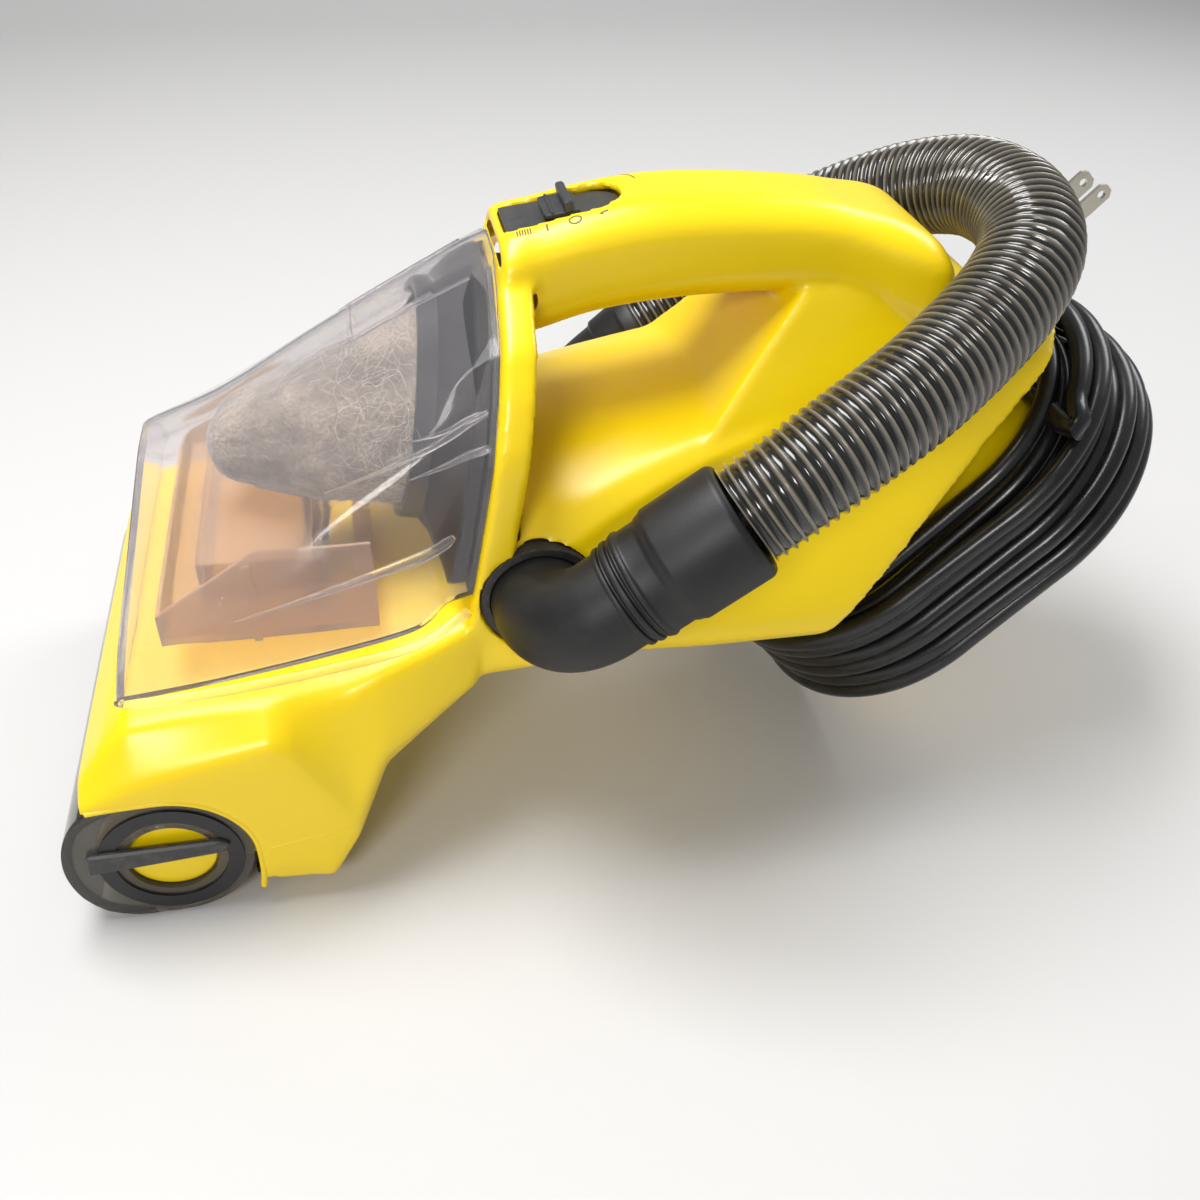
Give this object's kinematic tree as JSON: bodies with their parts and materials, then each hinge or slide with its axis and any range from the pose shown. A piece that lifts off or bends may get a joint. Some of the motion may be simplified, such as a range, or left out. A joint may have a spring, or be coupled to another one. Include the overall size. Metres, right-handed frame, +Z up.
{
  "type": "handheld vacuum",
  "caption": "Corded hand vacuum with a belt-driven brush, a clear dust cup, a stretch hose and a cord wound on its tail.",
  "frame": {"origin": "on the floor, under the middle of the vacuum's length and width", "axes": "+X from the nozzle to the tail, +Y to the right, +Z up"},
  "size_m": [0.3711, 0.1855, 0.2035],
  "materials": {
    "yellow_shell": "satin moulded ABS",
    "black_plastic": "moulded",
    "grey_switch": "moulded",
    "steel": "plated",
    "copper": "turned",
    "carbon": "pressed carbon",
    "zinc": "cast",
    "black_rubber": "matte",
    "cord_rubber": "glossy jacket",
    "nickel": "nickel plated",
    "smoked_clear": "smoked clear plastic",
    "clear_cup": "clear plastic",
    "brown_clear": "tinted plastic",
    "filter_frame": "moulded",
    "filter_felt": "dusty felt",
    "smoked_hose": "smoked flexible plastic",
    "matte_cuff": "fine texture",
    "bristle": "nylon tufts",
    "aluminium": "pressed"
  },
  "bodies": {
    "body": {"body_left": "yellow_shell", "body_right": "yellow_shell", "nozzle_housing": "yellow_shell", "base_plate": "black_plastic", "cord_wrap": "yellow_shell", "wrap_flange": "yellow_shell", "switch_plate": "grey_switch", "switch_block": "black_plastic", "latch_spring": "steel", "motor_field": "steel", "motor_bracket_left": "zinc", "motor_bracket_right": "zinc", "carbon_brushes": "carbon", "motor_mounts": "black_rubber", "fan_housing": "black_plastic", "drive_belt": "black_rubber", "brush_axle": "steel", "end_cap_left": "yellow_shell", "end_cap_right": "yellow_shell", "port_seal": "black_rubber", "hose_elbow": "matte_cuff", "elbow_ring": "matte_cuff", "hose_cuff": "matte_cuff", "hose": "smoked_hose", "tail_cuff": "matte_cuff", "tail_socket": "yellow_shell", "strain_relief": "cord_rubber", "cord_lead": "cord_rubber", "cord_coil": "cord_rubber", "cord_end": "cord_rubber", "plug_body": "cord_rubber", "plug_blades": "nickel", "body_screws": "steel", "base_screws": "steel"},
    "rotor": {"fan": "aluminium", "motor_shaft": "steel", "armature": "steel", "commutator": "copper", "motor_pulley": "black_plastic"},
    "brush_roll": {"brush_core": "black_plastic", "brush_bristles": "bristle", "brush_pulley": "black_plastic"},
    "visor": {"riser_visor": "smoked_clear"},
    "cup": {"dust_cup": "clear_cup", "inlet_duct": "brown_clear", "filter_frame": "filter_frame", "filter_cone": "filter_felt", "cup_seal": "black_rubber"},
    "flap": {"inlet_flap": "brown_clear"},
    "switch": {"switch_slider": "grey_switch"},
    "latch": {"cup_latch": "grey_switch"}
  },
  "joints": [
    {"name": "motor_spin", "type": "hinge", "parent": "body", "child": "rotor", "pos_m": [0.02352, 0, 0.096], "axis": [0, 1, 0], "continuous": true},
    {"name": "brush_spin", "type": "hinge", "parent": "body", "child": "brush_roll", "pos_m": [-0.15298, 0, 0.025], "axis": [0, 1, 0], "continuous": true},
    {"name": "visor_lift", "type": "hinge", "parent": "body", "child": "visor", "pos_m": [-0.15298, 0, 0.025], "axis": [0, 1, 0], "range_deg": [0, 50]},
    {"name": "cup_removal", "type": "slide", "parent": "body", "child": "cup", "axis": [-0.985, 0, 0.1724], "range_m": [0, 0.08]},
    {"name": "flap_swing", "type": "hinge", "parent": "cup", "child": "flap", "pos_m": [-0.09988, 0, 0.0995], "axis": [0, 1, 0], "range_deg": [-30, 0]},
    {"name": "switch_slide", "type": "slide", "parent": "body", "child": "switch", "axis": [-0.9903, 0, -0.1392], "range_m": [-0.008, 0.012]},
    {"name": "latch_slide", "type": "slide", "parent": "body", "child": "latch", "axis": [1, 0, 0], "range_m": [0, 0.005], "stiffness_N_per_m": 300, "springref_m": -0.002, "deforming": ["latch_spring"]}
  ],
  "couplings": [
    {"joint": "brush_spin", "follows": "motor_spin", "ratio": 0.6364}
  ]
}
